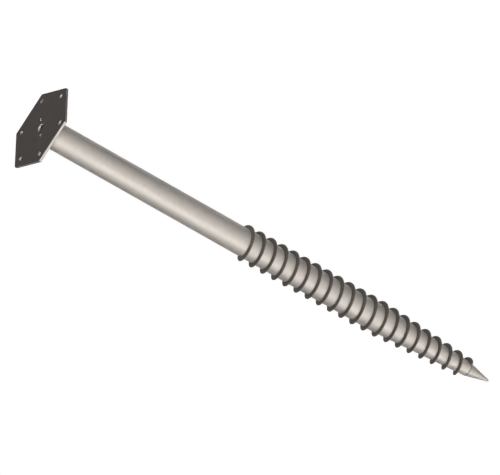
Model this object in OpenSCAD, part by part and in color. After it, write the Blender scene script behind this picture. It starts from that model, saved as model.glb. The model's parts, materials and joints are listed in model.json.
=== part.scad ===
// Foundation ground screw with a hexagonal bolting flange.
// It lies on its side, as it comes to rest on flat ground: one flat of the
// flange and the crest of the flight near the taper touch z = 0. The shaft
// runs along +X, from the flange to the point.
// Each piece is drawn upright along the shaft's own axis, which starts at the
// middle of the flange's outer face and runs to the point, and lay_down()
// then puts it in its place.

/* [Flange plate] */
// Diameter of the circle that the bolt holes stand on
bolt_pcd = 200; // [150:1:280]
// Diameter of a bolt hole
bolt_hole_d = 14; // [8:0.5:24]
// Distance from the middle of a bolt hole to its corner of the plate
corner_margin = 27; // [18:0.5:45]
// Thickness of the plate
flange_t = 8; // [5:0.5:16]
// Diameter of the hole in the middle of the plate
centre_hole_d = 25; // [10:0.5:34]
// Diameter of the two small vent holes beside it
vent_d = 8; // [4:0.5:10]
// Metal left between a vent hole and the line of the tube's bore
vent_edge = 1.4; // [0.5:0.1:4]

/* [Shaft tube] */
// Outside diameter of the tube
tube_od = 76; // [60:0.5:100]
// Wall thickness of the tube
tube_wall = 3.6; // [2.5:0.1:6]
// Length of the straight part of the tube
straight_len = 1132; // [900:1:1500]
// Length of the swaged taper
taper_len = 300; // [200:1:450]
// Outside diameter at the small end of the taper
neck_od = 39; // [24:0.5:50]
// Half the length over which the straight part bends into the taper
swage_blend = 20; // [5:1:60]

/* [Drive point] */
// Length of the solid point
point_len = 72; // [45:1:120]
// Radius of its blunt end
nose_r = 3.25; // [1:0.25:6]

/* [Helical flight] */
// Distance from the plate to the start of the flight
flight_start = 664; // [400:1:800]
// Advance of the flight in one turn
pitch = 37.75; // [28:0.25:60]
// Height of the flight above the tube
flight_h = 11; // [6:0.25:18]
// Thickness of the flight where it meets the tube
flight_root_t = 3.6; // [2.5:0.1:6]
// Thickness of the flight at its crest
flight_crest_t = 2.8; // [1.5:0.1:6]
// Angle over which each end of the flight rises from the tube
run_out = 25; // [10:1:90]
// Number of straight facets in one turn
facets = 48; // [24:4:48]

/* [Weld] */
// Leg of the fillet weld between the plate and the tube
weld_leg = 6; // [3:0.5:10]
// Rise of the weld's face above a flat one
weld_crown = 0.8; // [0:0.1:1.5]

/* [Hidden] */

$fn = 96;
// How far a cutting cylinder runs past the faces it cuts
over = 1;
// Points along each rounded stretch of a profile
round_steps = 8;

// The plate is a hexagon with a bolt hole inside each corner
sides = 6;
hex_r = bolt_pcd / 2 + corner_margin;
hex_flat = hex_r * cos(180 / sides);
bore_r = tube_od / 2 - tube_wall;
vent_offset = bore_r - vent_d / 2 - vent_edge;

// Stations along the shaft's axis
z_taper = flange_t + straight_len;
z_neck = z_taper + taper_len;
z_tip = z_neck + point_len;
taper_slope = (tube_od - neck_od) / 2 / taper_len;

// Outside radius of the tube at the station z: straight, a smooth bend, the taper
function shaft_r(z) =
    z <= z_taper - swage_blend ? tube_od / 2 :
    z >= z_taper + swage_blend ? tube_od / 2 - taper_slope * (z - z_taper) :
    tube_od / 2 - taper_slope * (z - z_taper + swage_blend) ^ 2 / (4 * swage_blend);

// Stations at which the tube's profile has a point
shaft_stations = concat(
    [flange_t],
    [for (i = [0:round_steps]) z_taper + swage_blend * (2 * i / round_steps - 1)],
    [z_neck]);

// The flight's front face ends where the taper ends
z_flight = flange_t + flight_start;
z_flight_end = z_neck - flight_root_t / 2;
flight_turns = (z_flight_end - z_flight) / pitch;
flight_steps = ceil(flight_turns * facets);
flight_angle = 360 * flight_turns;
// The flight's root edges stand on the tube: the middle of each facet touches it
root_lift = 1 / cos(flight_angle / flight_steps / 2);
// Share of its height that the flight keeps at its very ends
end_rise = 0.04;

// The point's cone runs tangent into its round nose
z_nose = z_tip - nose_r;
nose_tangent = atan2(neck_od / 2, z_nose - z_neck)
    + acos(nose_r / norm([neck_od / 2, z_nose - z_neck]));

// Rest: the slope of the ground, seen from the shaft, from the plate's inner edge
// to each place where the flight's crest faces the ground, and to the nose.
// The gentlest of them is the one it lies at. The flight starts at the side, so
// it first faces down after this share of a turn.
down_share = 0.75;
ground_stations = [for (turn = [0:floor(flight_turns - 1)])
    z_flight + pitch * (turn + down_share) + flight_crest_t / 2];
ground_slopes = concat(
    [for (z = ground_stations) (hex_flat - shaft_r(z) - flight_h) / (z - flange_t)],
    [(hex_flat - nose_r) / (z_nose - flange_t)]);
tilt = atan(min(ground_slopes));
rest_height = hex_flat * cos(tilt) + flange_t * sin(tilt);
x_flange_end = -hex_flat * sin(tilt);
x_tip_end = z_nose * cos(tilt) + nose_r;

// Puts an upright piece in its place on the ground, midway along X
module lay_down() {
    translate([-(x_flange_end + x_tip_end) / 2, 0, rest_height])
        rotate([0, tilt, 0])
            rotate([90, 0, 90])
                children();
}

module flange_plate() {
    color("darkgray")
        lay_down()
            difference() {
                cylinder(h = flange_t, r = hex_r, $fn = sides);
                plate_hole(centre_hole_d, 0, 0);
                for (side = [0, 180]) plate_hole(vent_d, vent_offset, side);
                for (i = [0:sides - 1]) plate_hole(bolt_hole_d, bolt_pcd / 2, i * 360 / sides);
            }
}

// Hole of diameter d through the plate, at a distance from its middle
module plate_hole(d, distance, angle) {
    rotate([0, 0, angle])
        translate([distance, 0, -over])
            cylinder(h = flange_t + 2 * over, d = d);
}

// Fillet weld that runs round the tube against the back of the plate
module flange_weld() {
    color("gray")
        lay_down()
            translate([0, 0, flange_t])
                rotate_extrude()
                    translate([tube_od / 2, 0])
                        polygon(concat([[0, 0]], [for (i = [0:round_steps]) weld_face(i / round_steps)]));
}

// Point at the share t of the weld's crowned face, from the plate to the tube
function weld_face(t) =
    let (crown = weld_crown * sin(180 * t) / sqrt(2))
    [weld_leg * (1 - t) + crown, weld_leg * t + crown];

// Tube with its end swaged down to the neck; the wall keeps its thickness
module shaft_tube() {
    outside = [for (z = shaft_stations) [shaft_r(z), z]];
    inside = [for (z = shaft_stations) [shaft_r(z) - tube_wall, z]];
    color("lightgray")
        lay_down()
            rotate_extrude()
                polygon(concat(outside, [for (i = [len(inside) - 1:-1:0]) inside[i]]));
}

// Height of the flight at the angle a from its start
function rise(a) = flight_h * max(end_rise, min(1, a / run_out, (flight_angle - a) / run_out));

// Section of the flight at the angle a: root and crest of its back face, then of its front face
function flight_section(a) =
    let (z = z_flight + pitch * a / 360)
    [for (p = [[0, -flight_root_t], [1, -flight_crest_t], [1, flight_crest_t], [0, flight_root_t]])
        let (zp = z + p[1] / 2, r = p[0] == 0 ? shaft_r(zp) * root_lift : shaft_r(zp) + rise(a))
        [r * cos(a), r * sin(a), zp]];

// Strip wound on edge round the tube, straight part and taper, as one sweep
module thread_flight() {
    points = [for (i = [0:flight_steps]) each flight_section(flight_angle * i / flight_steps)];
    sides = [for (i = [0:flight_steps - 1]) for (j = [0:3])
        let (a = 4 * i + j, b = 4 * i + (j + 1) % 4)
        each [[a, a + 4, b], [b, a + 4, b + 4]]];
    last = 4 * flight_steps;
    caps = [[0, 1, 2], [0, 2, 3], [last, last + 2, last + 1], [last, last + 3, last + 2]];
    color("silver")
        lay_down()
            polyhedron(points, concat(sides, caps));
}

// Solid point that closes the neck of the tube
module drive_point() {
    nose = [for (i = [0:round_steps])
        let (a = nose_tangent + (180 - nose_tangent) * i / round_steps)
        [nose_r * sin(a), z_nose - nose_r * cos(a)]];
    color("darkgray")
        lay_down()
            rotate_extrude()
                polygon(concat([[0, z_neck], [neck_od / 2, z_neck]], nose));
}

flange_plate();
flange_weld();
shaft_tube();
thread_flight();
drive_point();
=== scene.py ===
"""Foundation ground screw with a hexagonal bolting flange, lying on flat ground.

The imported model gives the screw's axis and its main sizes. Every piece is shaped
upright in the shaft's own frame, from the middle of the flange's outer face (z = 0)
to the point, and is then laid along that axis. Lengths are in metres.
"""

from __future__ import annotations

import json
import logging
import math
from collections.abc import Iterable, Sequence
from dataclasses import dataclass
from enum import Enum
from functools import cached_property
from typing import ClassVar

import bmesh
import bpy
from bmesh.types import BMEdge, BMesh, BMVert
from mathutils import Matrix, Vector


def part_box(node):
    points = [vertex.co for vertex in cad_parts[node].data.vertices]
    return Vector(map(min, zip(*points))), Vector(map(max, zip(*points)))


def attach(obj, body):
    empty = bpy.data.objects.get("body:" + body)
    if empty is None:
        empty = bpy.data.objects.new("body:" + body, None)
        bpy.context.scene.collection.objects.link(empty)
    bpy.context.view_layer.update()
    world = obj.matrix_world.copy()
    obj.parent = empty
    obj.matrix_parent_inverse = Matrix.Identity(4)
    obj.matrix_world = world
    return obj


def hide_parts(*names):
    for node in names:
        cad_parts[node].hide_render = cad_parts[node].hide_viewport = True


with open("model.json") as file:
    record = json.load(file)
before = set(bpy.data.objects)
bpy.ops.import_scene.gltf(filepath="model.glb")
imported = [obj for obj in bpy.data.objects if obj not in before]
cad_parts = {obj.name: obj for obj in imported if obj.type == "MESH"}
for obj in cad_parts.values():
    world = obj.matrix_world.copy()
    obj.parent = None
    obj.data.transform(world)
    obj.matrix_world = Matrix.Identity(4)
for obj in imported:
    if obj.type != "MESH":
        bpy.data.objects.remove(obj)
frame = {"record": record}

log = logging.getLogger("ground_screw")

Tone = tuple[float, float, float]
Span = tuple[float, float]
Socket = bpy.types.NodeSocket
Feed = Socket | float | Sequence[float]
Profile = list[tuple[float, float]]
Ring = list[BMEdge]

MM = 0.001
# Points that lie closer than this are one point
SAME_POINT = 0.02 * MM
# Wall of the shaft's tube
TUBE_WALL = 3.6 * MM
# Weld prep on both sides of the neck
NECK_CHAMFER = 0.9 * MM
# Number of stretches in a rounded edge
ROUND_STEPS = 3


# ---------------- the screw's axis


@dataclass(frozen=True)
class Shaft:
    """The screw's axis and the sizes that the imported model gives.

    Attributes:
        head: Middle of the flange's outer face.
        along: Unit vector from the flange to the point.
        length: Distance from the flange's outer face to the point.
        neck: Station where the taper ends and the solid point begins.
        tube_r: Outside radius of the straight tube.
        neck_r: Outside radius where the tube meets the point.
        crest_r: Radius of the flight's crest on the straight tube.
    """

    head: Vector
    along: Vector
    length: float
    neck: float
    tube_r: float
    neck_r: float
    crest_r: float

    @classmethod
    def from_record(cls, record: dict) -> Shaft:
        """Reads the axis from the mounts and the radii from the nodes' boxes.

        Args:
            record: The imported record.

        Returns:
            The shaft.
        """
        mounts = {mount["name"]: mount for mount in record["mounts"]}
        head = Vector(mounts["flange_bolts"]["pos_m"])
        along = -Vector(mounts["flange_bolts"]["axis"]).normalized()
        tip = Vector(mounts["ground_point"]["pos_m"])
        base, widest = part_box("drive_point")
        return cls(
            head=head,
            along=along,
            length=(tip - head).length,
            neck=(base.x - head.x - widest.y * along.z) / along.x,
            tube_r=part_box("shaft_tube")[1].y,
            neck_r=widest.y,
            crest_r=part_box("thread_flight")[1].y,
        )

    @property
    def place(self) -> Matrix:
        """Place of the shaft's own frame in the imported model's frame.

        Returns:
            The rotation and shift from one to the other.
        """
        side = Vector((0.0, 1.0, 0.0))
        turn = Matrix((side, self.along.cross(side), self.along)).transposed()
        return Matrix.Translation(self.head) @ turn.to_4x4()


# ---------------- finishes


class Lay(Enum):
    """How a finish's grain lies, as the scale of its pattern along the shaft."""

    EVEN = 1.0
    DRAWN = 0.06


@dataclass(frozen=True)
class Noise:
    """Noise pattern in a finish.

    Attributes:
        scale: Patches in a metre.
        detail: Octaves of finer noise.
        roughness: Weight of the finer octaves.
    """

    scale: float
    detail: float
    roughness: float


PATCHES = Noise(scale=7.0, detail=3.0, roughness=0.55)
GRAIN = Noise(scale=620.0, detail=4.0, roughness=0.6)
FINE_GRAIN = Noise(scale=2100.0, detail=2.0, roughness=0.5)


class Nodes:
    """Builds the shader nodes of a material or of the surroundings.

    Attributes:
        tree: The node tree.
    """

    def __init__(self, tree: bpy.types.NodeTree) -> None:
        """Takes hold of a node tree."""
        self.tree = tree

    def feed(self, node: bpy.types.Node, feeds: dict[str | int, Feed]) -> None:
        """Links or sets the inputs of a node.

        Args:
            node: The node.
            feeds: What each input gets, by its name or its place: a socket or a value.
        """
        for key, value in feeds.items():
            if isinstance(value, Socket):
                self.tree.links.new(value, node.inputs[key])
            else:
                node.inputs[key].default_value = value

    def add(
        self, kind: str, feeds: dict[str | int, Feed] | None = None, **settings: str
    ) -> bpy.types.Node:
        """Adds a node of a kind, sets it up and feeds it.

        Args:
            kind: Kind of the node.
            feeds: What each of its inputs gets.
            **settings: Its settings.

        Returns:
            The node.
        """
        node = self.tree.nodes.new(kind)
        for setting, value in settings.items():
            setattr(node, setting, value)
        self.feed(node, feeds or {})
        return node

    def maths(self, operation: str, *feeds: Feed) -> Socket:
        """Works out a number."""
        node = self.add("ShaderNodeMath", dict(enumerate(feeds)), operation=operation)
        return node.outputs["Value"]

    def mapped(self, value: Feed, span: Span, onto: Span) -> Socket:
        """Maps a value from one range to another, and clamps it there.

        Args:
            value: The value.
            span: The range that it is in.
            onto: The range that it is mapped to.

        Returns:
            The socket that gives the mapped value.
        """
        keys = ("Value", "From Min", "From Max", "To Min", "To Max")
        feeds = dict(zip(keys, (value, *span, *onto)))
        return self.add("ShaderNodeMapRange", feeds).outputs["Result"]


class ZincNodes(Nodes):
    """Builds the shader nodes that the zinc finishes share.

    Attributes:
        shaft: The screw's axis and main sizes.
        place: Texture coordinates of the piece.
        own: Coordinates in the shaft's own frame.
    """

    # Places of the colour sockets among all the sockets of a Mix node
    MIX_LOW, MIX_HIGH, MIX_RESULT = 6, 7, 2
    # Width over which one region passes into the next
    BLUR = 1.0 * MM
    SEAM_BLUR = 0.3 * MM
    # Share of a normal along the axis at which a wall begins to pass into a face
    WALL_SLANT = (0.1, 0.35)
    # Share of its size by which a crystal's edges stray, in how many waves, and
    # how soft they are
    CRYSTAL_STRAY = 0.7
    CRYSTAL_WAVES = 2.0
    CRYSTAL_SOFTNESS = 0.25
    # Share of the relief that the shading shows
    BUMP_STRENGTH = 0.6

    def __init__(self, material: bpy.types.Material, shaft: Shaft) -> None:
        """Starts from the piece's coordinates and turns them into the shaft's own.

        Args:
            material: The material, with its nodes switched on.
            shaft: The screw's axis and main sizes.
        """
        super().__init__(material.node_tree)
        self.shaft = shaft
        self.place = self.add("ShaderNodeTexCoord").outputs
        back = shaft.place.inverted()
        feeds = {
            "Vector": self.place["Object"],
            "Rotation": back.to_euler(),
            "Location": back.translation,
        }
        self.own = self.add("ShaderNodeMapping", feeds).outputs["Vector"]

    def stretched(self, share: float) -> Socket:
        """Scales the shaft's own coordinates along it; below 1 a pattern is longer."""
        feeds = {"Vector": self.own, "Scale": (1.0, 1.0, share)}
        return self.add("ShaderNodeMapping", feeds).outputs["Vector"]

    def noise(self, vector: Socket, pattern: Noise) -> Socket:
        """Adds a noise pattern.

        Args:
            vector: Coordinates.
            pattern: The pattern's sizes.

        Returns:
            The socket that gives the pattern's value, about 0.5 on average.
        """
        feeds = {
            "Vector": vector,
            "Scale": pattern.scale,
            "Detail": pattern.detail,
            "Roughness": pattern.roughness,
        }
        return self.add("ShaderNodeTexNoise", feeds).outputs["Fac"]

    def vectors(self, operation: str, feeds: dict[str | int, Feed]) -> bpy.types.Node:
        """Works out a vector or a size."""
        return self.add("ShaderNodeVectorMath", feeds, operation=operation)

    def crystals(self, size: float) -> Socket:
        """Adds zinc spangle: cells with feathered edges, each with its own level.

        Args:
            size: Mean width of a crystal.

        Returns:
            The socket that gives each crystal's level, from 0 to 1.
        """
        feeds = {"Vector": self.own, "Scale": self.CRYSTAL_WAVES / size, "Detail": 3.0}
        drift = self.add("ShaderNodeTexNoise", feeds).outputs["Color"]
        stray = (size * self.CRYSTAL_STRAY,) * 3
        moved = self.vectors("MULTIPLY_ADD", {0: drift, 1: stray, 2: self.own})
        cells = self.add(
            "ShaderNodeTexVoronoi",
            {
                "Vector": moved.outputs["Vector"],
                "Scale": 1.0 / size,
                "Smoothness": self.CRYSTAL_SOFTNESS,
            },
            feature="SMOOTH_F1",
        )
        level = self.add("ShaderNodeSeparateColor", {"Color": cells.outputs["Color"]})
        return level.outputs["Red"]

    def colour(self, tone: Tone) -> Socket:
        """Adds a colour.

        Args:
            tone: The colour, linear.

        Returns:
            The socket that gives it.
        """
        node = self.add("ShaderNodeRGB")
        node.outputs["Color"].default_value = (*tone, 1.0)
        return node.outputs["Color"]

    def mixed(self, share: Socket, low: Socket, high: Socket) -> Socket:
        """Mixes two colours: a share of 0 gives the low one and 1 the high one."""
        feeds = {0: share, self.MIX_LOW: low, self.MIX_HIGH: high}
        return self.add("ShaderNodeMix", feeds, data_type="RGBA").outputs[self.MIX_RESULT]

    def scaled(self, colour: Socket, level: Socket) -> Socket:
        """Makes a colour lighter or darker by multiplying it."""
        return self.vectors("SCALE", {0: colour, "Scale": level}).outputs["Vector"]

    @cached_property
    def walls(self) -> Socket:
        """Tells walls, which run along the shaft's axis, from faces square to it.

        Returns:
            The socket that gives 1 on walls and 0 on faces.
        """
        feeds = {0: self.place["Normal"], 1: self.shaft.along}
        slant = self.vectors("DOT_PRODUCT", feeds).outputs["Value"]
        return self.mapped(self.maths("ABSOLUTE", slant), self.WALL_SLANT, (1.0, 0.0))

    def beyond(self, radius: float) -> Socket:
        """Gives 1 beyond a distance from the shaft's axis and 0 within it.

        Args:
            radius: The distance.

        Returns:
            The socket that gives the share.
        """
        away = self.vectors("LENGTH", {0: self.stretched(0.0)}).outputs["Value"]
        span = (radius - self.BLUR / 2, radius + self.BLUR / 2)
        return self.mapped(away, span, (0.0, 1.0))

    def near(self, station: float, reach: float) -> Socket:
        """Gives 1 close to a station along the shaft and 0 elsewhere.

        Args:
            station: The station.
            reach: Distance from it up to which the share is 1.

        Returns:
            The socket that gives the share.
        """
        along = self.add("ShaderNodeSeparateXYZ", {"Vector": self.own}).outputs["Z"]
        off = self.maths("ABSOLUTE", self.maths("SUBTRACT", along, station))
        return self.mapped(off, (reach, reach + self.SEAM_BLUR), (1.0, 0.0))

    def weighted(self, patterns: tuple[Socket, ...], weights: tuple[float, ...]) -> Feed:
        """Sums patterns about 1: each adds its weight times its distance from 0.5.

        Args:
            patterns: The patterns.
            weights: A weight for each; a pattern of no weight is left out.

        Returns:
            The socket that gives the sum.
        """
        total: Feed = 1.0 - sum(weights) / 2
        for pattern, weight in zip(patterns, weights):
            if weight != 0.0:
                total = self.maths("MULTIPLY_ADD", pattern, weight, total)
        return total

    def bump(self, height: Feed, relief: float) -> Socket:
        """Turns a height, of which 1 stands for the relief, into a normal."""
        feeds = {"Height": height, "Distance": relief, "Strength": self.BUMP_STRENGTH}
        return self.add("ShaderNodeBump", feeds).outputs["Normal"]


@dataclass(frozen=True)
class Zinc:
    """Hot-dip galvanised finish: spangle, mottling and a fine dull grain.

    A mix holds the weights of the crystals, the patches, the grain and the fine grain.

    Attributes:
        name: Name of the material.
        tone: Mean colour of the zinc, linear.
        spangle: Size of a zinc crystal.
        colour_mix: Shares by which the patterns make the colour lighter or darker.
        roughness_mix: Weights of the patterns in the roughness.
        roughness_span: Range of that sum which the roughness covers.
        roughness: Lowest and highest roughness.
        relief_mix: Weights of the patterns in the relief.
        relief: Height of the relief.
        specular: Strength of the dielectric reflection.
        tint: Colour of the dielectric reflection.
        metallic: Share of bare metal.
        lay: How the grain lies.
    """

    name: str
    tone: Tone
    spangle: float = 11 * MM
    colour_mix: tuple[float, ...] = (0.10, 0.22, 0.07, 0.03)
    roughness_mix: tuple[float, ...] = (0.35, 0.50, 0.35, 0.0)
    roughness_span: Span = (0.7, 1.3)
    roughness: Span = (0.46, 0.62)
    relief_mix: tuple[float, ...] = (0.25, 0.0, 0.70, 0.35)
    relief: float = 0.06 * MM
    specular: float = 0.4
    tint: Tone = (1.0, 0.93, 0.86)
    metallic: float = 0.0
    lay: Lay = Lay.EVEN

    def material(self, shaft: Shaft) -> bpy.types.Material:
        """Builds the material.

        Args:
            shaft: The screw's axis, which the patterns are centred on and turned to.

        Returns:
            The material.
        """
        made = bpy.data.materials.new(self.name)
        made.use_nodes = True
        made.diffuse_color = (*self.tone, 1.0)
        nodes = ZincNodes(made, shaft)
        patterns = (
            nodes.crystals(self.spangle),
            nodes.noise(nodes.own, PATCHES),
            nodes.noise(nodes.stretched(self.lay.value), GRAIN),
            nodes.noise(nodes.own, FINE_GRAIN),
        )
        level = nodes.weighted(patterns, self.colour_mix)
        rough = nodes.weighted(patterns, self.roughness_mix)
        rough = nodes.mapped(rough, self.roughness_span, self.roughness)
        height = nodes.weighted(patterns, self.relief_mix)
        feeds = {
            "Base Color": nodes.scaled(self.colour(nodes), level),
            "Metallic": self.bare(nodes),
            "Roughness": self.polished(nodes, rough),
            "Normal": nodes.bump(height, self.relief),
            "Specular IOR Level": self.specular,
            "Specular Tint": (*self.tint, 1.0),
        }
        nodes.feed(made.node_tree.nodes["Principled BSDF"], feeds)
        return made

    def colour(self, nodes: ZincNodes) -> Socket:
        """Gives the colour that the patterns vary, here the same all over."""
        return nodes.colour(self.tone)

    def bare(self, nodes: ZincNodes) -> Feed:
        """Gives the share of bare metal, here the same all over."""
        return self.metallic

    def polished(self, nodes: ZincNodes, rough: Socket) -> Socket:
        """Gives the roughness after wear, here as the patterns make it."""
        return rough


@dataclass(frozen=True)
class PlateZinc(Zinc):
    """Zinc of a plate: painted shade darkens its faces and its rim, and painted light makes
    the walls of the holes in its middle near white.

    Attributes:
        rim_painted_shade_tone: Colour of the outer rim, darker than the tube's zinc as painted
            shade.
        rim_from: Distance from the axis at which the holes end and the rim begins.
        rim_metallic: Share of bare metal on the rim.
        inner_painted_light_tone: Colour of the walls of the holes in the plate's middle, near
            white as painted light.
        inner_to: Distance from the axis up to which those holes reach.
        bore_tone: Colour of the metal in the bolt holes.
        polish: Roughness of the rim and the holes, as a share of the faces'.
    """

    # Painted shade darkens the rim, and painted light lightens the walls of the holes in the
    # middle
    rim_painted_shade_tone: Tone = (0.19, 0.176, 0.161)
    rim_from: float = 108.5 * MM
    rim_metallic: float = 0.05
    inner_painted_light_tone: Tone = (0.92, 0.86, 0.80)
    inner_to: float = 50 * MM
    bore_tone: Tone = (0.41, 0.382, 0.355)
    polish: float = 0.7

    def colour(self, nodes: ZincNodes) -> Socket:
        """Gives the rim and the walls of the holes their own colours: painted shade on the
        rim, painted light in the holes in the middle.

        Args:
            nodes: The material's nodes.

        Returns:
            The socket that gives the colour.
        """
        # The faces keep the plate's tone, darkened as painted shade; the middle holes' walls
        # are lightened as painted light
        bolts = nodes.beyond(self.inner_to)
        holes = nodes.mixed(bolts, nodes.colour(self.inner_painted_light_tone), nodes.colour(self.bore_tone))
        rim = nodes.beyond(self.rim_from)
        edges = nodes.mixed(rim, holes, nodes.colour(self.rim_painted_shade_tone))
        return nodes.mixed(nodes.walls, super().colour(nodes), edges)

    def bare(self, nodes: ZincNodes) -> Feed:
        """Gives bare metal to the rim alone."""
        rim = nodes.mapped(nodes.beyond(self.rim_from), (0.0, 1.0), (0.0, self.rim_metallic))
        return nodes.maths("MULTIPLY", rim, nodes.walls)

    def polished(self, nodes: ZincNodes, rough: Socket) -> Socket:
        """Makes the rim and the walls of the holes smoother than the faces."""
        share = nodes.mapped(nodes.walls, (0.0, 1.0), (1.0, self.polish))
        return nodes.maths("MULTIPLY", rough, share)


@dataclass(frozen=True)
class NeckZinc(Zinc):
    """Zinc of a piece that meets the neck, with a dark seam round it: painted shade of the
    weld groove.

    Attributes:
        seam_painted_shade_tone: Colour of the seam, painted shade of the weld groove.
        seam_width: Width of the seam.
    """

    # The seam's dark colour is painted shade of the weld groove at the neck
    seam_painted_shade_tone: Tone = (0.055, 0.050, 0.045)
    seam_width: float = 2.0 * MM

    def colour(self, nodes: ZincNodes) -> Socket:
        """Gives the zinc's colour, with the seam's painted shade round the neck."""
        seam = nodes.near(nodes.shaft.neck, self.seam_width / 2)
        return nodes.mixed(seam, super().colour(nodes), nodes.colour(self.seam_painted_shade_tone))


@dataclass(frozen=True)
class TubeZinc(NeckZinc):
    """Zinc of the tube, with painted shade inside it as far as its inside can be seen.

    Attributes:
        inside_painted_shade_tone: Colour of the inside, dark as painted shade.
        inside_to: Distance from the axis at which the inside ends.
        inside_reach: Station up to which the inside can be seen.
    """

    # The inside's dark colour is painted shade
    inside_painted_shade_tone: Tone = (0.05, 0.046, 0.042)
    inside_to: float = 36 * MM
    inside_reach: float = 900 * MM

    def colour(self, nodes: ZincNodes) -> Socket:
        """Gives the tube's outside its zinc and its inside a painted shade.

        Args:
            nodes: The material's nodes.

        Returns:
            The socket that gives the colour.
        """
        outside = super().colour(nodes)
        # Painted shade on the inside of the tube
        inside = nodes.colour(self.inside_painted_shade_tone)
        wall = nodes.mixed(nodes.beyond(self.inside_to), inside, outside)
        return nodes.mixed(nodes.near(0.0, self.inside_reach), outside, wall)


# Warm greys of the zinc, linear; the plate's and the flight's are darkened far below the
# tube's as painted shade
PLATE_FINISH_PAINTED_SHADE_AND_LIGHT = PlateZinc(
    "plate_finish_painted_shade_and_light",
    (0.062, 0.0525, 0.0475),
    spangle=14 * MM,
    roughness=(0.56, 0.70),
    specular=0.12,
)
WELD_ZINC = Zinc(
    "weld_zinc", (0.36, 0.33, 0.30), spangle=5 * MM, relief=0.12 * MM, specular=0.25
)
TUBE_ZINC = TubeZinc(
    "tube_zinc",
    (0.48, 0.443, 0.405),
    roughness=(0.60, 0.74),
    lay=Lay.DRAWN,
    specular=0.20,
    metallic=0.04,
)
# The flight's zinc is darkened as painted shade of its flanks
FLIGHT_FINISH_PAINTED_SHADE = Zinc(
    "flight_zinc",
    (0.157, 0.141, 0.123),
    spangle=7 * MM,
    roughness=(0.55, 0.72),
    specular=0.12,
)
POINT_ZINC = NeckZinc(
    "point_zinc",
    (0.48, 0.443, 0.405),
    spangle=7 * MM,
    roughness=(0.50, 0.64),
    specular=0.20,
    metallic=0.04,
)


# ---------------- pieces


def evenly(low: float, high: float, steps: int) -> list[float]:
    """Divides a range into equal steps and gives their ends, the range's own included."""
    return [low + (high - low) * i / steps for i in range(steps + 1)]


def arc(
    middle: tuple[float, float], radius: float, start: float, end: float, steps: int
) -> Profile:
    """Points of an arc in a plane.

    Args:
        middle: Centre of the arc.
        radius: Its radius.
        start: Angle of its first point, in degrees.
        end: Angle of its last point, in degrees.
        steps: Number of stretches.

    Returns:
        The points, both ends included.
    """
    x, y = middle
    angles = [math.radians(angle) for angle in evenly(start, end, steps)]
    return [(x + radius * math.cos(a), y + radius * math.sin(a)) for a in angles]


def edges_at(verts: Iterable[BMVert]) -> Ring:
    """Lists the edges that end at any of the points, each one once."""
    return list(dict.fromkeys(edge for vert in verts for edge in vert.link_edges))


def sharpen(edges: Iterable[BMEdge]) -> None:
    """Makes edges sharp, so that the shading breaks at them."""
    for edge in edges:
        edge.smooth = False


def spin_profile(
    bm: BMesh,
    profile: Profile,
    steps: int,
    closed: bool = True,
    turns: float = 1.0,
    pitch: float = 0.0,
) -> None:
    """Turns a profile round the shaft's axis, or winds it along the axis as well.

    Args:
        bm: Mesh that the shape is added to.
        profile: Points as radius and station along the shaft.
        steps: Number of facets.
        closed: Whether the profile's ends are joined.
        turns: Number of turns, at most one.
        pitch: Advance in one turn; where there is none, the last facet meets the first.
    """
    verts = [bm.verts.new((r, 0.0, z)) for r, z in profile]
    pairs = zip(verts, verts[1:] + verts[:1] if closed else verts[1:])
    edges = [bm.edges.new(pair) for pair in pairs]
    bmesh.ops.spin(
        bm,
        geom=verts + edges,
        cent=(0, 0, 0),
        axis=(0, 0, 1),
        dvec=(0, 0, turns * pitch / steps),
        angle=2 * math.pi * turns,
        steps=steps,
        use_merge=pitch == 0.0,
        use_duplicate=False,
    )


class Piece:
    """One visible piece of the screw. A subclass gives its shape.

    Attributes:
        name: Name of the piece.
        slot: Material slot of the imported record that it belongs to.
        stands_for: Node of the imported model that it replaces.
        finish: Its finish.
        crease: Angle between two faces past which their edge is sharp, in degrees.
    """

    name: ClassVar[str]
    slot: ClassVar[str]
    stands_for: ClassVar[str]
    finish: ClassVar[Zinc]
    crease: ClassVar[float] = 32.0

    def shape(self, bm: BMesh, shaft: Shaft) -> None:
        """Builds the piece upright, in the shaft's own frame."""
        raise NotImplementedError

    def make(self, shaft: Shaft) -> bpy.types.Object:
        """Builds the piece, lays it in place and dresses it.

        Args:
            shaft: The screw's axis and main sizes.

        Returns:
            The finished object.
        """
        bm = bmesh.new()
        self.shape(bm, shaft)
        bmesh.ops.remove_doubles(bm, verts=bm.verts[:], dist=SAME_POINT)
        bmesh.ops.transform(bm, matrix=shaft.place, verts=bm.verts[:])
        bmesh.ops.recalc_face_normals(bm, faces=bm.faces[:])
        for face in bm.faces:
            face.smooth = True
        crease = math.radians(self.crease)
        sharpen(e for e in bm.edges if e.is_manifold and e.calc_face_angle() > crease)
        mesh = bpy.data.meshes.new(self.name)
        bm.to_mesh(mesh)
        bm.free()
        mesh.materials.append(self.finish.material(shaft))
        made = bpy.data.objects.new(self.name, mesh)
        bpy.context.scene.collection.objects.link(made)
        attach(made, "root")
        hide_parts(self.stands_for)
        return made


@dataclass(frozen=True)
class Hole:
    """Round hole through the plate.

    Attributes:
        x: Place of its middle across the shaft's axis.
        y: The other coordinate of its middle.
        radius: Its radius.
        round_r: Radius that its edges are rounded to.
        segments: Number of facets round it.
    """

    x: float
    y: float
    radius: float
    round_r: float
    segments: int


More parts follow.
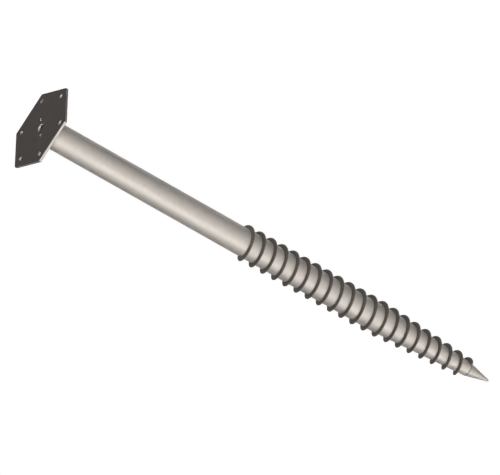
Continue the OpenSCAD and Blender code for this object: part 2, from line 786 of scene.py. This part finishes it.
@dataclass
class FlangePlate(Piece):
    """Hexagonal plate with a bolt hole inside each corner and three holes amid them.

    Attributes:
        hex_r: Distance from the plate's middle to a corner.
        thickness: Thickness of the plate.
        bolt_circle_r: Radius of the circle that the bolt holes stand on.
        bolt_r: Radius of a bolt hole.
        centre_r: Radius of the hole in the middle.
        vent_r: Radius of a vent hole.
        vent_edge: Metal between a vent hole and the line of the tube's bore.
        round_r: Radius that the dipped outer edges are rounded to.
        bolt_round_r: Radius that the bolt holes' edges are rounded to.
        inner_round_r: Radius that the other holes' edges are rounded to.
        corner_cut: Distance from each corner at which its rounding begins.
        corner_steps: Number of stretches round a corner.
        sides: Number of sides, and of bolt holes.
    """

    hex_r: float
    thickness: float
    bolt_circle_r: float
    bolt_r: float
    centre_r: float
    vent_r: float = 4 * MM
    vent_edge: float = 1.4 * MM
    round_r: float = 0.8 * MM
    bolt_round_r: float = 1.3 * MM
    inner_round_r: float = 0.9 * MM
    corner_cut: float = 1.6 * MM
    corner_steps: int = 4
    sides: int = 6
    name = "flange_plate_zinc"
    slot = "plate_zinc"
    stands_for = "flange_plate"
    finish = PLATE_FINISH_PAINTED_SHADE_AND_LIGHT

    @classmethod
    def from_record(cls, record: dict) -> FlangePlate:
        """Takes the plate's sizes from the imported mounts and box.

        Args:
            record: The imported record.

        Returns:
            The plate.
        """
        mounts = {mount["name"]: mount["dims"] for mount in record["mounts"]}
        return cls(
            hex_r=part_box("flange_plate")[1].y,
            thickness=mounts["centre_hole"]["length_mm"] * MM,
            bolt_circle_r=mounts["flange_bolts"]["pcd_mm"] / 2 * MM,
            bolt_r=mounts["flange_bolts"]["hole_r_mm"] * MM,
            centre_r=mounts["centre_hole"]["r_mm"] * MM,
        )

    def shape(self, bm: BMesh, shaft: Shaft) -> None:
        """Skins the wall of each hole and the rim, then fills the plate's two faces.

        Args:
            bm: Mesh that the plate is built in.
            shaft: The screw's main sizes.
        """
        faces: tuple[Ring, Ring] = ([], [])
        for hole in self.holes(shaft):
            rings = [self.ring(bm, hole, inset, z) for inset, z in self.rim(hole.round_r)]
            self.skin(bm, rings, faces)
        rings = [self.outline(bm, inset, z) for inset, z in self.rim(self.round_r)]
        self.skin(bm, rings, faces)
        # Only the plate's flat sides are as large as this, and they are shaded flat
        for side in [face for face in bm.faces if face.calc_area() > self.thickness**2]:
            sharpen(side.edges)
        for edges in faces:
            bmesh.ops.triangle_fill(bm, use_beauty=True, use_dissolve=False, edges=edges)

    def holes(self, shaft: Shaft) -> list[Hole]:
        """Lists the hole in the middle, the vent holes and the bolt holes.

        Args:
            shaft: The screw's main sizes.

        Returns:
            The holes.
        """
        holes = [Hole(0.0, 0.0, self.centre_r, self.inner_round_r, segments=64)]
        vent_x = shaft.tube_r - TUBE_WALL - self.vent_edge - self.vent_r
        for x in (vent_x, -vent_x):
            holes.append(Hole(x, 0.0, self.vent_r, self.inner_round_r, segments=40))
        for i in range(self.sides):
            turn = 2 * math.pi * i / self.sides
            x = self.bolt_circle_r * math.cos(turn)
            y = self.bolt_circle_r * math.sin(turn)
            holes.append(Hole(x, y, self.bolt_r, self.bolt_round_r, segments=56))
        return holes

    def rim(self, round_r: float) -> Profile:
        """Gives a rounded rim's section as inset and station, face to face."""
        low = arc((round_r, round_r), round_r, 270, 180, ROUND_STEPS)
        return low + [(inset, self.thickness - z) for inset, z in reversed(low)]

    def ring(self, bm: BMesh, hole: Hole, inset: float, z: float) -> Ring:
        """Adds one ring of a hole's wall.

        Args:
            bm: Mesh that the ring is added to.
            hole: The hole.
            inset: How far the ring lies outside the hole's radius.
            z: Station of the ring.

        Returns:
            The ring's edges.
        """
        middle = Matrix.Translation((hole.x, hole.y, z))
        made = bmesh.ops.create_circle(
            bm, radius=hole.radius + inset, segments=hole.segments, matrix=middle
        )
        return edges_at(made["verts"])

    def outline(self, bm: BMesh, inset: float, z: float) -> Ring:
        """Adds one ring of the plate's rim: the hexagon with its corners rounded.

        Args:
            bm: Mesh that the ring is added to.
            inset: How far the ring lies inside the plate's sides.
            z: Station of the ring.

        Returns:
            The ring's edges.
        """
        corner_inset = inset / math.cos(math.pi / self.sides)
        quarter = Matrix.Rotation(math.pi / 2, 4, "Z")
        made = bmesh.ops.create_circle(
            bm,
            radius=self.hex_r - corner_inset,
            segments=self.sides,
            matrix=Matrix.Translation((0, 0, z)) @ quarter,
        )
        cut = bmesh.ops.bevel(
            bm,
            geom=made["verts"],
            offset=self.corner_cut,
            affect="VERTICES",
            segments=self.corner_steps,
            profile=0.5,
            material=-1,
        )
        return edges_at(cut["verts"])

    @staticmethod
    def skin(bm: BMesh, rings: list[Ring], faces: tuple[Ring, Ring]) -> None:
        """Joins rings into a wall and keeps the end rings for filling.

        The end rings are sharp, so that the plate's faces are shaded flat.

        Args:
            bm: Mesh that holds the rings.
            rings: The wall's rings, from the outer face to the inner face.
            faces: The edges that bound the outer face and the inner face.
        """
        for low, high in zip(rings, rings[1:]):
            bmesh.ops.bridge_loops(bm, edges=low + high)
        for edges, ring in zip(faces, (rings[0], rings[-1])):
            edges.extend(ring)
            sharpen(ring)


@dataclass
class FlangeWeld(Piece):
    """Fillet weld round the tube, with the crescent ripples of a hand-run bead.

    Attributes:
        thickness: Thickness of the plate that the weld stands on.
        leg: Leg of the fillet.
        crown: Rise of its face above a flat one.
        root: How far the bead's root runs into the plate and the tube.
        ripple: Depth of the ripples.
        ripples: Number of ripples round the tube.
        lag: Angle by which a ripple's ends lag behind its middle, in radians of a ripple.
        ripple_steps: Number of facets in a ripple.
        face_steps: Number of stretches across the bead's face.
    """

    thickness: float
    leg: float = 6 * MM
    crown: float = 0.6 * MM
    root: float = 0.4 * MM
    ripple: float = 0.35 * MM
    ripples: int = 84
    lag: float = 2.2
    ripple_steps: int = 6
    face_steps: int = 8
    name = "flange_weld_bead"
    slot = "weld_zinc"
    stands_for = "flange_weld"
    finish = WELD_ZINC
    crease = 60.0

    def shape(self, bm: BMesh, shaft: Shaft) -> None:
        """Turns the bead's section and presses the ripples into its face.

        Args:
            bm: Mesh that the bead is built in.
            shaft: The screw's main sizes.
        """
        profile = [
            (shaft.tube_r - self.root, self.thickness - self.root),
            (shaft.tube_r + self.leg, self.thickness - self.root),
        ]
        for t in evenly(0.0, 1.0, self.face_steps):
            crown = self.crown * math.sin(math.pi * t) / math.sqrt(2)
            out = self.leg * (1 - t) + crown
            up = self.leg * t + crown
            profile.append((shaft.tube_r + out, self.thickness + up))
        profile.append((shaft.tube_r - self.root, self.thickness + self.leg))
        spin_profile(bm, profile, self.ripples * self.ripple_steps)
        for vert in bm.verts:
            self.press(vert, shaft.tube_r)

    def press(self, vert: BMVert, tube_r: float) -> None:
        """Moves a point of the bead's face in by the depth of the ripple there.

        Args:
            vert: The point.
            tube_r: Outside radius of the tube.
        """
        out = math.hypot(vert.co.x, vert.co.y) - tube_r
        up = vert.co.z - self.thickness
        if out < 0 or up < 0:
            return
        across = (out - up) / self.leg
        amount = max(0.0, 1 - across * across)
        turn = math.atan2(vert.co.y, vert.co.x)
        phase = self.ripples * turn + self.lag * across * across
        depth = self.ripple * amount * (0.5 - 0.5 * math.cos(phase)) ** 2
        spoke = Vector((vert.co.x, vert.co.y, 0.0)).normalized()
        vert.co -= (spoke + Vector((0.0, 0.0, 1.0))) * depth / math.sqrt(2)


@dataclass
class ShaftTube(Piece):
    """Round tube with its end swaged down to the neck; the wall is the same all along.

    Attributes:
        start: Station of the flange's inner face, where the tube begins.
        neck: Station where the tube ends.
        taper: Length of the swaged taper.
        blend: Half the length over which one bends into the other.
        steps: Number of facets in a turn.
        length_steps: Number of stretches along the straight part and along the taper.
        bend_steps: Number of stretches along the bend between them.
    """

    start: float
    neck: float
    taper: float = 300 * MM
    blend: float = 20 * MM
    steps: int = 144
    length_steps: int = 10
    bend_steps: int = 12
    name = "shaft_tube_zinc"
    slot = "tube_zinc"
    stands_for = "shaft_tube"
    finish = TUBE_ZINC

    @property
    def shoulder(self) -> float:
        """Station where the taper begins."""
        return self.neck - self.taper

    def radius(self, shaft: Shaft, z: float) -> float:
        """Gives the tube's outside radius.

        Args:
            shaft: The screw's main sizes.
            z: Station along the shaft.

        Returns:
            The radius there.
        """
        slope = (shaft.tube_r - shaft.neck_r) / self.taper
        past = z - self.shoulder
        if past <= -self.blend:
            return shaft.tube_r
        if past >= self.blend:
            return shaft.tube_r - slope * past
        return shaft.tube_r - slope * (past + self.blend) ** 2 / (4 * self.blend)

    def shape(self, bm: BMesh, shaft: Shaft) -> None:
        """Turns the tube's outside and inside, with a weld prep at the neck.

        Args:
            bm: Mesh that the tube is built in.
            shaft: The screw's main sizes.
        """
        bend = (self.shoulder - self.blend, self.shoulder + self.blend)
        stations = evenly(self.start, bend[0], self.length_steps)[:-1]
        stations += evenly(*bend, self.bend_steps)
        stations += evenly(bend[1], self.neck, self.length_steps)[1:-1]
        prep = self.neck - NECK_CHAMFER
        outside = [(self.radius(shaft, z), z) for z in [*stations, prep]]
        outside.append((shaft.neck_r - NECK_CHAMFER, self.neck))
        inside = [(self.radius(shaft, z) - TUBE_WALL, z) for z in [*stations, self.neck]]
        spin_profile(bm, outside + inside[::-1], self.steps)


@dataclass
class ThreadFlight(Piece):
    """Strip wound on edge round the tube, straight part and taper, and welded on.

    Attributes:
        tube: The tube that it is wound on.
        start: Distance from the flange's inner face to the flight's start.
        pitch: Advance in one turn.
        root_t: Thickness at the tube.
        crest_t: Thickness at the crest.
        crest_round: Radius of the crest's edges.
        fillet: Leg of the weld fillet along each side of the root.
        sink: How far the root runs into the tube.
        run_out: Angle over which each end rises, in degrees.
        end_rise: Share of its height that the flight keeps at its very ends.
        turn_steps: Number of stretches in a turn.
    """

    tube: ShaftTube
    start: float = 664 * MM
    pitch: float = 37.75 * MM
    root_t: float = 3.6 * MM
    crest_t: float = 2.8 * MM
    crest_round: float = 1.0 * MM
    fillet: float = 1.8 * MM
    sink: float = 0.5 * MM
    run_out: float = 25.0
    end_rise: float = 0.03
    turn_steps: int = 96
    name = "thread_flight_zinc"
    slot = "flight_zinc"
    stands_for = "thread_flight"
    finish = FLIGHT_FINISH_PAINTED_SHADE
    crease = 40.0

    @property
    def first(self) -> float:
        """Station of the middle of the flight at its start."""
        return self.tube.start + self.start

    @property
    def turns(self) -> float:
        """Number of turns, up to where the front face meets the end of the taper."""
        return (self.tube.neck - self.root_t / 2 - self.first) / self.pitch

    def section(self, height: float) -> Profile:
        """Gives the strip's section as height above the tube and distance along it.

        Args:
            height: Height of the crest.

        Returns:
            The points, from the back of the root over the crest to the front.
        """
        half_root, half_crest = self.root_t / 2, self.crest_t / 2
        side = [(-self.sink, half_root + self.fillet)]
        side += [
            (self.fillet - h, half_root + self.fillet - w)
            for h, w in arc((0, 0), self.fillet, 90, 0, ROUND_STEPS)
        ]
        edge = (height - self.crest_round, half_crest - self.crest_round)
        side += arc(edge, self.crest_round, 90, 0, ROUND_STEPS)
        return [(h, -w) for h, w in side] + side[::-1]

    def shape(self, bm: BMesh, shaft: Shaft) -> None:
        """Winds the section round the shaft, then seats it on the tube and the taper.

        Args:
            bm: Mesh that the flight is built in.
            shaft: The screw's main sizes.
        """
        height = shaft.crest_r - shaft.tube_r
        section = [(shaft.tube_r + h, w) for h, w in self.section(height)]
        whole = int(self.turns)
        self.wind(bm, section, self.first, 1.0)
        turn = bm.verts[:] + bm.edges[:] + bm.faces[:]
        for i in range(1, whole):
            copy = bmesh.ops.duplicate(bm, geom=turn)["geom"]
            verts = [part for part in copy if isinstance(part, BMVert)]
            bmesh.ops.translate(bm, verts=verts, vec=(0, 0, i * self.pitch))
        self.wind(bm, section, self.first + whole * self.pitch, self.turns - whole)
        bmesh.ops.remove_doubles(bm, verts=bm.verts[:], dist=SAME_POINT)
        ends = [edge for edge in bm.edges if edge.is_boundary]
        bmesh.ops.holes_fill(bm, edges=ends, sides=len(section))
        for vert in bm.verts:
            self.seat(vert, shaft)

    def wind(self, bm: BMesh, section: Profile, station: float, turns: float) -> None:
        """Winds the section round the shaft for a turn or a part of one.

        Args:
            bm: Mesh that the flight is added to.
            section: Points as radius and distance from the section's middle.
            station: Station of the section's middle at its start.
            turns: Number of turns, at most one.
        """
        profile = [(r, station + w) for r, w in section]
        steps = round(turns * self.turn_steps)
        spin_profile(bm, profile, steps, turns=turns, pitch=self.pitch)

    def seat(self, vert: BMVert, shaft: Shaft) -> None:
        """Moves a point to its height above the tube at its own station.

        Args:
            vert: The point, wound at the straight tube's radius.
            shaft: The screw's main sizes.
        """
        reach = math.hypot(vert.co.x, vert.co.y)
        above = reach - shaft.tube_r
        if above > 0:
            above *= self.rise(vert)
        scale = (self.tube.radius(shaft, vert.co.z) + above) / reach
        vert.co.x *= scale
        vert.co.y *= scale

    def rise(self, vert: BMVert) -> float:
        """Gives the share of its height that the flight has at a point's angle.

        Args:
            vert: The point.

        Returns:
            The share.
        """
        part = math.atan2(vert.co.y, vert.co.x) / (2 * math.pi)
        wound = (vert.co.z - self.first) / self.pitch
        turned = round(wound - part) + part
        near = min(turned, self.turns - turned) * 360 / self.run_out
        eased = max(0.0, min(1.0, near))
        return self.end_rise + (1 - self.end_rise) * math.sin(eased * math.pi / 2)


@dataclass
class DrivePoint(Piece):
    """Solid forged point that closes the tube's neck.

    Attributes:
        base: Station of its base, at the neck.
        nose_r: Radius of the blunt end.
        steps: Number of facets in a turn.
        cone_steps: Number of stretches along the cone.
        nose_steps: Number of stretches round the nose.
    """

    base: float
    nose_r: float = 3.25 * MM
    steps: int = 96
    cone_steps: int = 5
    nose_steps: int = 8
    name = "drive_point_zinc"
    slot = "point_zinc"
    stands_for = "drive_point"
    finish = POINT_ZINC

    def shape(self, bm: BMesh, shaft: Shaft) -> None:
        """Turns the cone and the round nose that it runs tangent into.

        Args:
            bm: Mesh that the point is built in.
            shaft: The screw's main sizes.
        """
        nose = shaft.length - self.nose_r
        rise = nose - self.base
        tangent = math.acos(self.nose_r / math.hypot(shaft.neck_r, rise))
        tangent -= math.atan2(rise, shaft.neck_r)
        tip = arc((0.0, nose), self.nose_r, math.degrees(tangent), 90, self.nose_steps)
        cone_r, cone_end = tip[0]
        slope = (cone_r - shaft.neck_r) / (cone_end - self.base)
        stations = evenly(self.base, cone_end, self.cone_steps)[1:-1]
        stations.insert(0, self.base + NECK_CHAMFER)
        profile = [(0.0, self.base), (shaft.neck_r - NECK_CHAMFER, self.base)]
        profile += [(shaft.neck_r + slope * (z - self.base), z) for z in stations]
        profile += tip[:-1] + [(0.0, shaft.length)]
        spin_profile(bm, profile, self.steps, closed=False)


# ---------------- the studio


@dataclass(frozen=True)
class Lamp:
    """One far, soft lamp.

    Attributes:
        name: Name of the lamp.
        towards: Direction from the object to the lamp.
        strength: Light on a surface square to it.
        softness: Angle that the lamp spans, in degrees.
        gloss_only: Whether it only draws highlights.
    """

    name: str
    towards: tuple[float, float, float]
    strength: float
    softness: float
    gloss_only: bool = False

    def make(self) -> None:
        """Adds the lamp to the scene."""
        data = bpy.data.lights.new(self.name, "SUN")
        data.energy = self.strength
        data.angle = math.radians(self.softness)
        made = bpy.data.objects.new(self.name, data)
        made.rotation_mode = "QUATERNION"
        made.rotation_quaternion = Vector(self.towards).to_track_quat("Z", "Y")
        made.visible_diffuse = not self.gloss_only
        bpy.context.scene.collection.objects.link(made)


LAMPS = (
    Lamp("key_lamp", (-0.40, -0.70, 0.59), 1.3, 12),
    Lamp("head_side_lamp", (-0.99, -0.03, 0.08), 1.1, 25),
    Lamp("point_side_lamp", (0.99, -0.05, 0.10), 0.4, 25),
    Lamp("back_lamp", (0.38, 0.92, 0.05), 1.1, 18),
    Lamp("upper_strip", (0.452, -0.49, 0.745), 8.0, 38, gloss_only=True),
    Lamp("low_strip", (0.411, -0.912, 0.02), 37.0, 9, gloss_only=True),
)


@dataclass
class Studio:
    """Pale floor, pale surroundings and plain soft lamps.

    Attributes:
        lamps: The lamps.
        floor_size: Half the width of the floor.
        ground: Level of the floor's grey.
        glow: Share of the floor's look that doesn't depend on the lamps.
        ambient: Strength of the surroundings' light on the object.
    """

    lamps: tuple[Lamp, ...] = LAMPS
    floor_size: float = 9.0
    ground: float = 0.32
    glow: float = 0.92
    ambient: float = 0.05

    def make(self) -> None:
        """Builds the floor, the surroundings and the lamps."""
        self.floor()
        self.surroundings()
        for lamp in self.lamps:
            lamp.make()

    @staticmethod
    def seen(nodes: Nodes) -> Socket:
        """Gives 1 for what the camera, gloss or glass sees, and 0 for other light.

        Args:
            nodes: Nodes of the floor or of the surroundings.

        Returns:
            The socket that gives the share.
        """
        path = nodes.add("ShaderNodeLightPath").outputs
        total = path["Is Camera Ray"]
        for ray in ("Is Glossy Ray", "Is Transmission Ray"):
            total = nodes.maths("MAXIMUM", total, path[ray])
        return total

    def floor(self) -> None:
        """Lays a pale floor that keeps the object's shadow."""
        bm = bmesh.new()
        bmesh.ops.create_grid(bm, x_segments=2, y_segments=2, size=self.floor_size)
        mesh = bpy.data.meshes.new("floor")
        bm.to_mesh(mesh)
        bm.free()
        mesh.materials.append(self.floor_material())
        made = bpy.data.objects.new("floor", mesh)
        bpy.context.scene.collection.objects.link(made)

    def floor_material(self) -> bpy.types.Material:
        """Makes the floor's material: matt, and near white to the eye.

        Returns:
            The material.
        """
        made = bpy.data.materials.new("pale_floor")
        made.use_nodes = True
        made.node_tree.nodes.clear()
        nodes = Nodes(made.node_tree)
        matt = nodes.add("ShaderNodeBsdfDiffuse", {"Color": (self.ground,) * 3 + (1.0,)})
        strength = nodes.maths("MULTIPLY", self.seen(nodes), self.glow)
        glow = nodes.add("ShaderNodeEmission", {"Strength": strength})
        both = nodes.add("ShaderNodeAddShader", {0: matt.outputs[0], 1: glow.outputs[0]})
        nodes.add("ShaderNodeOutputMaterial", {"Surface": both.outputs[0]})
        return made

    def surroundings(self) -> None:
        """Makes the world white to the eye and dimmer as a light."""
        world = bpy.data.worlds.new("studio")
        bpy.context.scene.world = world
        world.use_nodes = True
        world.node_tree.nodes.clear()
        nodes = Nodes(world.node_tree)
        strength = nodes.mapped(self.seen(nodes), (0.0, 1.0), (self.ambient, 1.0))
        feeds = {"Color": (1.0, 1.0, 1.0, 1.0), "Strength": strength}
        sky = nodes.add("ShaderNodeBackground", feeds)
        nodes.add("ShaderNodeOutputWorld", {"Surface": sky.outputs[0]})


@dataclass
class LongLens:
    """Camera far off with a long lens, turned about its own line of sight.

    Attributes:
        azimuth: Angle round the object, in degrees; 0 looks along +Y.
        elevation: Angle above the ground, in degrees.
        roll: Turn about the line of sight, in degrees.
        aim: Point in the middle of the view.
        width: Width that the view spans at that point.
        lens: Focal length in millimetres.
    """

    azimuth: float = -28.20
    elevation: float = 36.02
    roll: float = 44.39
    aim: tuple[float, float, float] = (-0.0604, 0.0139, 0.0875)
    width: float = 1.3359
    lens: float = 1500.0

    def make(self) -> None:
        """Places the camera and gives it to the scene."""
        data = bpy.data.cameras.new("camera")
        data.lens = self.lens
        distance = self.width * self.lens / data.sensor_width
        data.clip_start = 1.0
        data.clip_end = 2 * distance
        around, above = math.radians(self.azimuth), math.radians(self.elevation)
        level = Vector((math.cos(around), math.sin(around), 0.0))
        out, up = math.cos(above), math.sin(above)
        back = Vector((math.sin(around) * out, -math.cos(around) * out, up))
        right = Matrix.Rotation(math.radians(self.roll), 3, back) @ level
        turn = Matrix((right, back.cross(right), back)).transposed()
        made = bpy.data.objects.new("camera", data)
        place = Matrix.Translation(Vector(self.aim) + back * distance)
        made.matrix_world = place @ turn.to_4x4()
        bpy.context.scene.collection.objects.link(made)
        bpy.context.scene.camera = made


# ---------------- making


def main() -> None:
    """Builds every piece, the studio and the camera."""
    logging.basicConfig(level=logging.INFO, format="%(name)s %(message)s")
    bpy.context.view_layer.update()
    record = frame["record"]
    shaft = Shaft.from_record(record)
    LongLens().make()
    Studio().make()
    plate = FlangePlate.from_record(record)
    tube = ShaftTube(start=plate.thickness, neck=shaft.neck)
    pieces = (
        plate,
        FlangeWeld(thickness=plate.thickness),
        tube,
        ThreadFlight(tube=tube),
        DrivePoint(base=shaft.neck),
    )
    for piece in pieces:
        made = piece.make(shaft)
        log.info("%s: %d faces", made.name, len(made.data.polygons))
    bpy.context.scene.view_settings.view_transform = "Standard"


if __name__ == "__main__":
    main()
